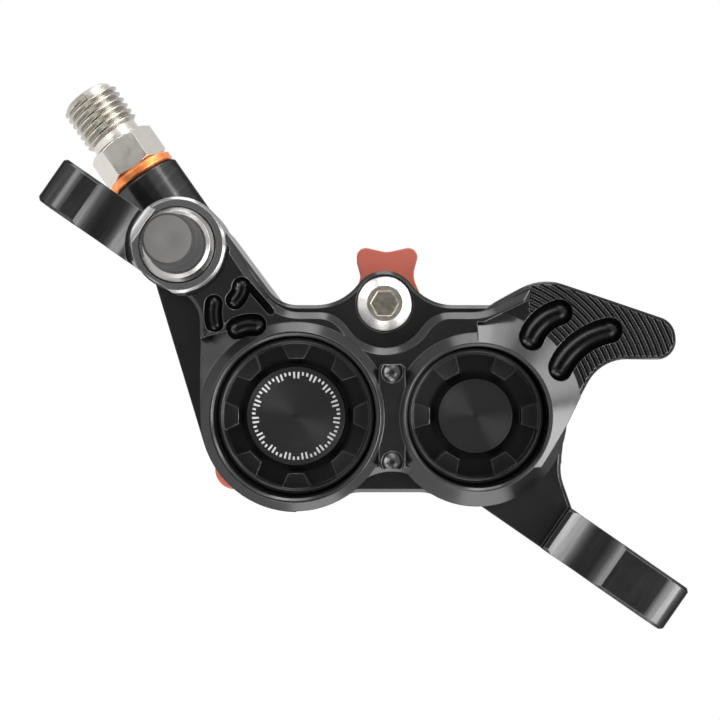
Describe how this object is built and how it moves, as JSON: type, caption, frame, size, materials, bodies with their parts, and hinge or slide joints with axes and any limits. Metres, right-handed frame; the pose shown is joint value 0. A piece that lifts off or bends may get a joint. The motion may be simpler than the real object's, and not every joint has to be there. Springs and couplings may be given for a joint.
{
  "type": "bicycle disc brake caliper",
  "caption": "Hydraulic bicycle disc brake caliper: one-piece finned body with two mounting ears, opposed pistons, brake pads on a cross pin, a bleed screw and a hose connector.",
  "frame": {"origin": "on the ears' seating plane, midway between the two mounting bolts across the ears, and on the rotor's middle plane along Y", "axes": "+X along the ears towards the one next to the fin, +Y towards the wheel (inboard), +Z away from the mounting posts along the bolts"},
  "size_m": [0.1003, 0.0458, 0.0487],
  "materials": {
    "body_anodised": "black anodised, satin",
    "cap_anodised": "black anodised, turned",
    "stainless": "polished stainless steel",
    "copper": "soft copper, matt",
    "bleed_rubber": "grey rubber, matt",
    "seal_rubber": "black rubber, satin",
    "plate_red": "red powder coat",
    "lining": "pressed friction compound, rough",
    "piston_ceramic": "moulded phenolic, matt",
    "spring_steel": "spring steel, bright"
  },
  "bodies": {
    "caliper": {"caliper_body": "body_anodised", "bore_cap_large": "cap_anodised", "bore_cap_small": "cap_anodised", "cap_seal_large": "seal_rubber", "cap_seal_small": "seal_rubber", "hose_connector": "stainless", "connector_washer": "copper", "pad_spring": "spring_steel", "gallery_plug": "spring_steel", "fluid_seal_outboard_large": "seal_rubber", "dust_seal_outboard_large": "seal_rubber", "fluid_seal_outboard_small": "seal_rubber", "dust_seal_outboard_small": "seal_rubber", "fluid_seal_inboard_large": "seal_rubber", "dust_seal_inboard_large": "seal_rubber", "fluid_seal_inboard_small": "seal_rubber", "dust_seal_inboard_small": "seal_rubber"},
    "outboard_pad": {"pad_plate_outboard": "plate_red", "pad_lining_outboard": "lining"},
    "inboard_pad": {"pad_plate_inboard": "plate_red", "pad_lining_inboard": "lining"},
    "outboard_large_piston": {"piston_outboard_large": "piston_ceramic"},
    "outboard_small_piston": {"piston_outboard_small": "piston_ceramic"},
    "inboard_large_piston": {"piston_inboard_large": "piston_ceramic"},
    "inboard_small_piston": {"piston_inboard_small": "piston_ceramic"},
    "pin": {"pad_pin": "stainless"},
    "clip": {"pin_clip": "spring_steel"},
    "bleed_screw": {"bleed_nipple": "stainless"},
    "screw_cap": {"bleed_cap": "bleed_rubber"}
  },
  "joints": [
    {"name": "outboard_pad_slide", "type": "slide", "parent": "caliper", "child": "outboard_pad", "axis": [0, 1, 0], "range_m": [0, 0.001], "deforming": ["pad_spring"]},
    {"name": "inboard_pad_slide", "type": "slide", "parent": "caliper", "child": "inboard_pad", "axis": [0, -1, 0], "range_m": [0, 0.001], "deforming": ["pad_spring"]},
    {"name": "outboard_large_piston_slide", "type": "slide", "parent": "caliper", "child": "outboard_large_piston", "axis": [0, 1, 0], "range_m": [0, 0.001]},
    {"name": "outboard_small_piston_slide", "type": "slide", "parent": "caliper", "child": "outboard_small_piston", "axis": [0, 1, 0], "range_m": [0, 0.001]},
    {"name": "inboard_large_piston_slide", "type": "slide", "parent": "caliper", "child": "inboard_large_piston", "axis": [0, -1, 0], "range_m": [0, 0.001]},
    {"name": "inboard_small_piston_slide", "type": "slide", "parent": "caliper", "child": "inboard_small_piston", "axis": [0, -1, 0], "range_m": [0, 0.001]},
    {"name": "pin_turn", "type": "hinge", "parent": "caliper", "child": "pin", "pos_m": [-0.00391, -0.017, 0.01364], "axis": [0, 1, 0], "range_deg": [-180, 180]},
    {"name": "clip_pull", "type": "slide", "parent": "caliper", "child": "clip", "axis": [-0.5693, 0, 0.8221], "range_m": [0, 0.006]},
    {"name": "bleed_turn", "type": "hinge", "parent": "caliper", "child": "bleed_screw", "pos_m": [-0.02847, -0.021, 0.0051], "axis": [0, 1, 0], "range_deg": [0, 90]},
    {"name": "bleed_cap_pull", "type": "slide", "parent": "bleed_screw", "child": "screw_cap", "axis": [0, -1, 0], "range_m": [0, 0.009]}
  ],
  "couplings": [
    {"joint": "inboard_pad_slide", "follows": "outboard_pad_slide", "ratio": 1},
    {"joint": "outboard_large_piston_slide", "follows": "outboard_pad_slide", "ratio": 1},
    {"joint": "outboard_small_piston_slide", "follows": "outboard_pad_slide", "ratio": 1},
    {"joint": "inboard_large_piston_slide", "follows": "outboard_pad_slide", "ratio": 1},
    {"joint": "inboard_small_piston_slide", "follows": "outboard_pad_slide", "ratio": 1}
  ]
}
